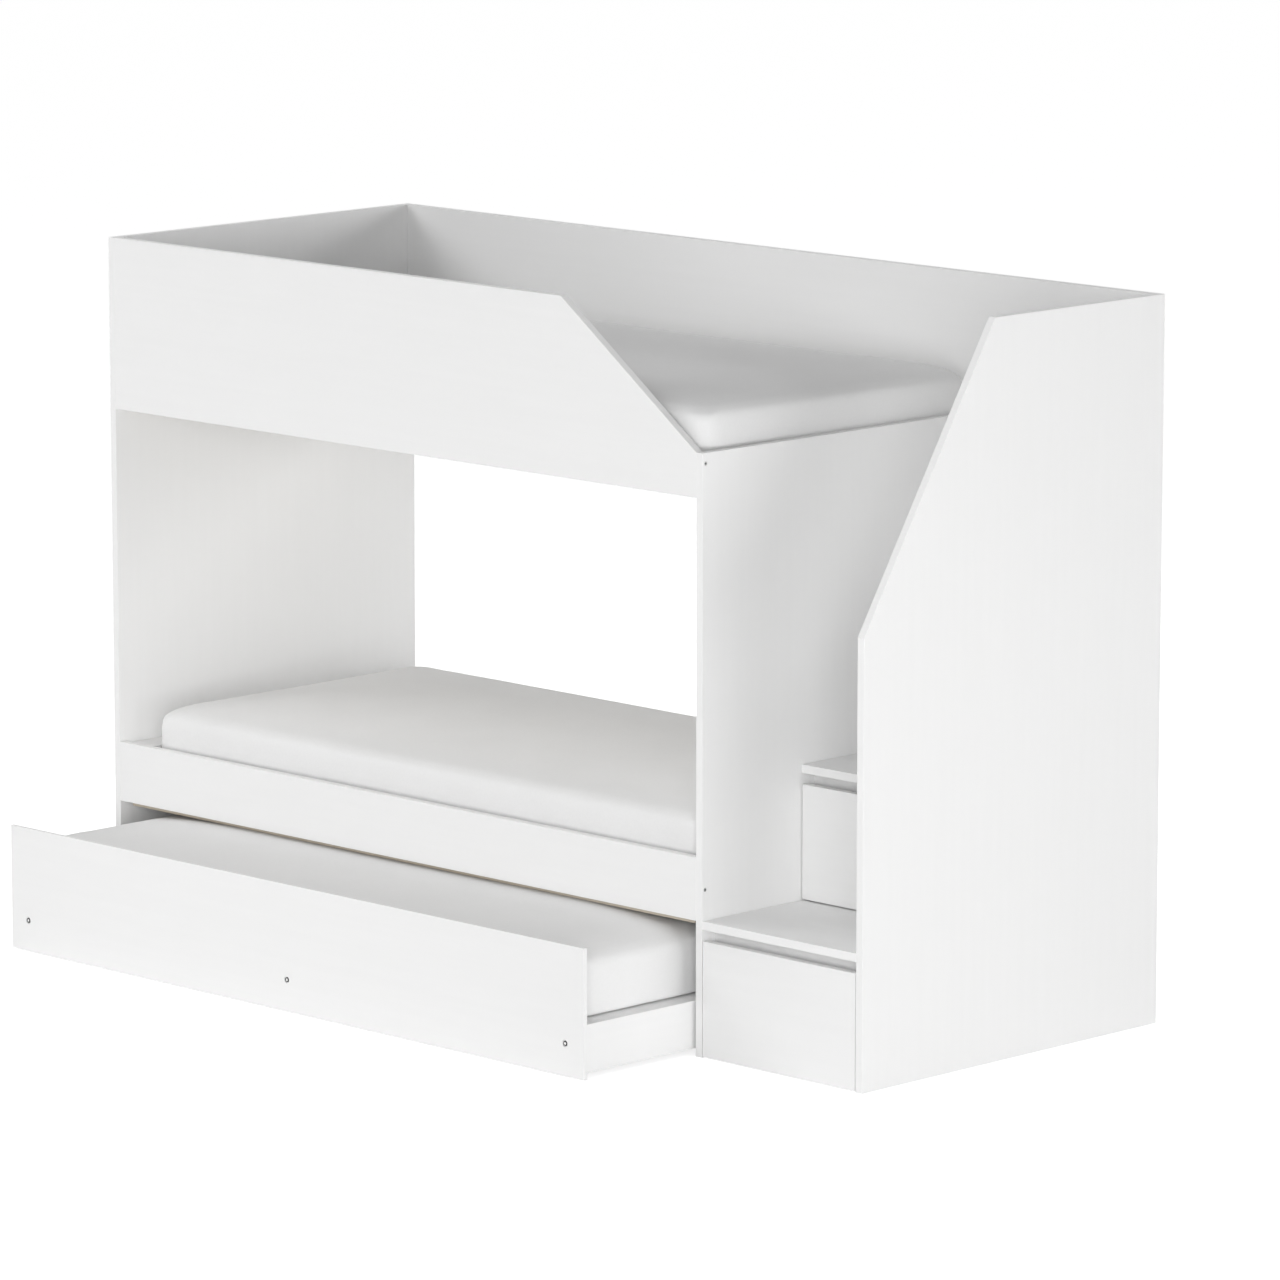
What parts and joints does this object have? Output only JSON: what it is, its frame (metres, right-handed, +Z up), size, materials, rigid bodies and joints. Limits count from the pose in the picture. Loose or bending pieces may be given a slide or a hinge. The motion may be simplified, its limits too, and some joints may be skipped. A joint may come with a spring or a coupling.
{
  "type": "bunk bed with trundle",
  "caption": "White board bunk bed with a sloped front guard, a drawer stair at one end and a wheeled trundle bed drawn out below, each bed with its mattress.",
  "frame": {"origin": "on the floor below the middle of the whole bed's box, with the trundle partly drawn out", "axes": "+X along the bed towards the stair, +Y towards the wall side, +Z up"},
  "size_m": [2.4, 1.288, 1.625],
  "materials": {
    "white_board": "satin white laminate",
    "white_hardboard": "white hardboard",
    "raw_pine": "planed, unfinished",
    "mattress_cover": "white woven cotton",
    "screw_steel": "zinc plated",
    "bolt_steel": "zinc plated",
    "runner_steel": "white powder",
    "caster_steel": "zinc plated",
    "nylon": "natural nylon",
    "wheel_plastic": "off-white"
  },
  "bodies": {
    "bed_frame": {"left_end_panel": "white_board", "inner_end_panel": "white_board", "outer_end_panel": "white_board", "front_guard": "white_board", "back_guard": "white_board", "lower_front_rail": "white_board", "lower_back_rail": "white_board", "lower_head_ledge": "white_board", "upper_head_ledge": "white_board", "step_tread_1": "white_board", "step_tread_2": "white_board", "step_tread_3": "white_board", "lower_front_ledger": "raw_pine", "lower_back_ledger": "raw_pine", "upper_front_ledger": "raw_pine", "upper_back_ledger": "raw_pine", "lower_slats": "raw_pine", "upper_slats": "raw_pine", "stair_back_panel": "white_hardboard", "frame_screws": "screw_steel", "lower_mattress": "mattress_cover", "upper_mattress": "mattress_cover", "drawer_1_channels": "runner_steel", "drawer_2_channels": "runner_steel", "drawer_3_channels": "runner_steel"},
    "trundle": {"trundle_front": "white_board", "trundle_box_front": "white_board", "trundle_box_back": "white_board", "trundle_left_side": "white_board", "trundle_right_side": "white_board", "trundle_front_ledger": "raw_pine", "trundle_back_ledger": "raw_pine", "trundle_slats": "white_board", "trundle_glides": "nylon", "trundle_mattress": "mattress_cover", "trundle_front_bolts": "bolt_steel", "caster_forks": "caster_steel", "caster_axles": "caster_steel"},
    "wheel_front_left": {"wheel_front_left": "wheel_plastic"},
    "wheel_front_right": {"wheel_front_right": "wheel_plastic"},
    "wheel_back_left": {"wheel_back_left": "wheel_plastic"},
    "wheel_back_right": {"wheel_back_right": "wheel_plastic"},
    "drawer_1": {"drawer_1_front": "white_board", "drawer_1_left_side": "white_board", "drawer_1_right_side": "white_board", "drawer_1_back": "white_board", "drawer_1_bottom": "white_hardboard", "drawer_1_runners": "runner_steel"},
    "drawer_2": {"drawer_2_front": "white_board", "drawer_2_left_side": "white_board", "drawer_2_right_side": "white_board", "drawer_2_back": "white_board", "drawer_2_bottom": "white_hardboard", "drawer_2_runners": "runner_steel"},
    "drawer_3": {"drawer_3_front": "white_board", "drawer_3_left_side": "white_board", "drawer_3_right_side": "white_board", "drawer_3_back": "white_board", "drawer_3_bottom": "white_hardboard", "drawer_3_runners": "runner_steel"}
  },
  "joints": [
    {"name": "trundle_slide", "type": "slide", "parent": "bed_frame", "child": "trundle", "axis": [0, -1, 0], "range_m": [-0.338, 0.5]},
    {"name": "wheel_front_left_spin", "type": "hinge", "parent": "trundle", "child": "wheel_front_left", "pos_m": [-1.01, -0.584, 0.025], "axis": [1, 0, 0], "continuous": true},
    {"name": "wheel_front_right_spin", "type": "hinge", "parent": "trundle", "child": "wheel_front_right", "pos_m": [0.534, -0.584, 0.025], "axis": [1, 0, 0], "continuous": true},
    {"name": "wheel_back_left_spin", "type": "hinge", "parent": "trundle", "child": "wheel_back_left", "pos_m": [-1.01, 0.206, 0.025], "axis": [1, 0, 0], "continuous": true},
    {"name": "wheel_back_right_spin", "type": "hinge", "parent": "trundle", "child": "wheel_back_right", "pos_m": [0.534, 0.206, 0.025], "axis": [1, 0, 0], "continuous": true},
    {"name": "drawer_1_slide", "type": "slide", "parent": "bed_frame", "child": "drawer_1", "axis": [0, -1, 0], "range_m": [0, 0.67]},
    {"name": "drawer_2_slide", "type": "slide", "parent": "bed_frame", "child": "drawer_2", "axis": [0, -1, 0], "range_m": [0, 0.438]},
    {"name": "drawer_3_slide", "type": "slide", "parent": "bed_frame", "child": "drawer_3", "axis": [0, -1, 0], "range_m": [0, 0.206]}
  ],
  "couplings": [
    {"joint": "wheel_front_left_spin", "follows": "trundle_slide", "rad_per_m": 40},
    {"joint": "wheel_front_right_spin", "follows": "trundle_slide", "rad_per_m": 40},
    {"joint": "wheel_back_left_spin", "follows": "trundle_slide", "rad_per_m": 40},
    {"joint": "wheel_back_right_spin", "follows": "trundle_slide", "rad_per_m": 40}
  ]
}
